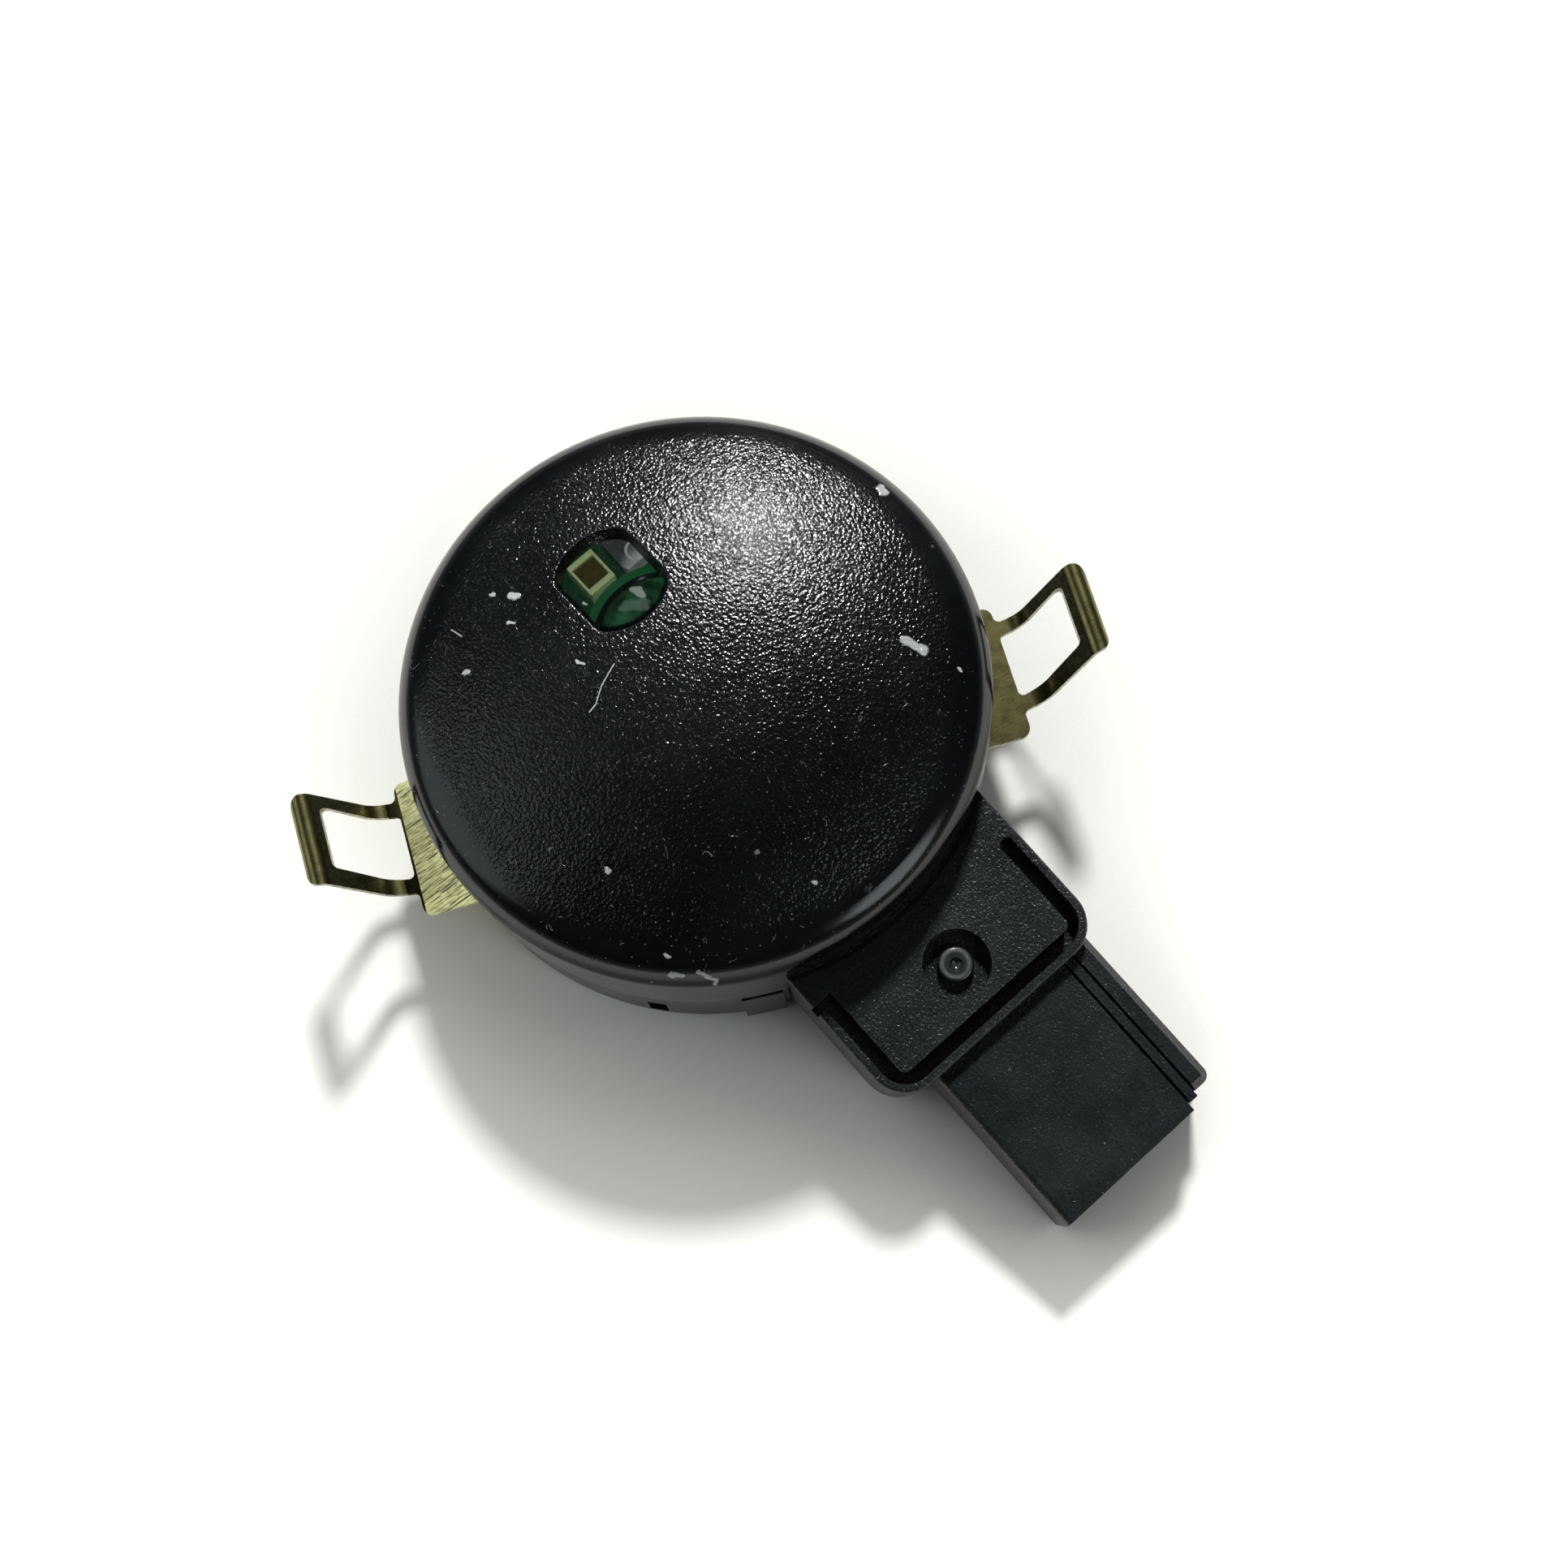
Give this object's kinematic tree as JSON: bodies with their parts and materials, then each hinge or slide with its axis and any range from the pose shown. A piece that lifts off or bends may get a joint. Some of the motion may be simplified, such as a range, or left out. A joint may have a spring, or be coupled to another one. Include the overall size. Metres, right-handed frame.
{
  "type": "rain and light sensor",
  "caption": "Round domed windscreen rain and light sensor with a light window, a sloping neck, a keyed connector socket and two open spring clips.",
  "frame": {"origin": "centre of the coupling pad's glass face, on the axis of the round cap", "axes": "+Z towards the cabin side and the domed cap, +X out along the neck and the connector, +Y across them"},
  "size_m": [0.0655, 0.0558, 0.0194],
  "materials": {
    "cap_plastic": "finely textured black",
    "housing_plastic": "matte black",
    "base_plastic": "satin black",
    "carrier_plastic": "glossy black where staked",
    "clear_plastic": "clear",
    "lens_plastic": "infrared clear, dark red",
    "pad_silicone": "soft and clear",
    "spring_steel": "olive passivated",
    "terminal_metal": "tinned",
    "board_laminate": "green solder mask",
    "chip_plastic": "moulded black",
    "diode_plastic": "water clear",
    "amber_plastic": "pale amber",
    "crystal_metal": "plated lid",
    "capacitor_ceramic": "ceramic tan"
  },
  "bodies": {
    "root": {"cover_cap": "cap_plastic", "light_window": "clear_plastic", "housing": "housing_plastic", "terminal_pin_1": "terminal_metal", "terminal_pin_2": "terminal_metal", "terminal_pin_3": "terminal_metal", "terminal_carrier": "carrier_plastic", "clip_spring_right": "spring_steel", "clip_spring_left": "spring_steel", "optic_base": "base_plastic", "optic_lens": "lens_plastic", "coupling_pad": "pad_silicone", "circuit_board": "board_laminate", "infrared_emitter_1": "diode_plastic", "infrared_emitter_2": "diode_plastic", "infrared_emitter_3": "diode_plastic", "rain_receiver_1": "chip_plastic", "rain_receiver_2": "chip_plastic", "ambient_diode": "amber_plastic", "infrared_diode": "diode_plastic", "dome_lens": "clear_plastic", "microcontroller": "chip_plastic", "bus_transceiver": "chip_plastic", "voltage_regulator": "chip_plastic", "clock_crystal": "crystal_metal", "capacitors": "capacitor_ceramic", "resistors": "chip_plastic"}
  },
  "joints": []
}
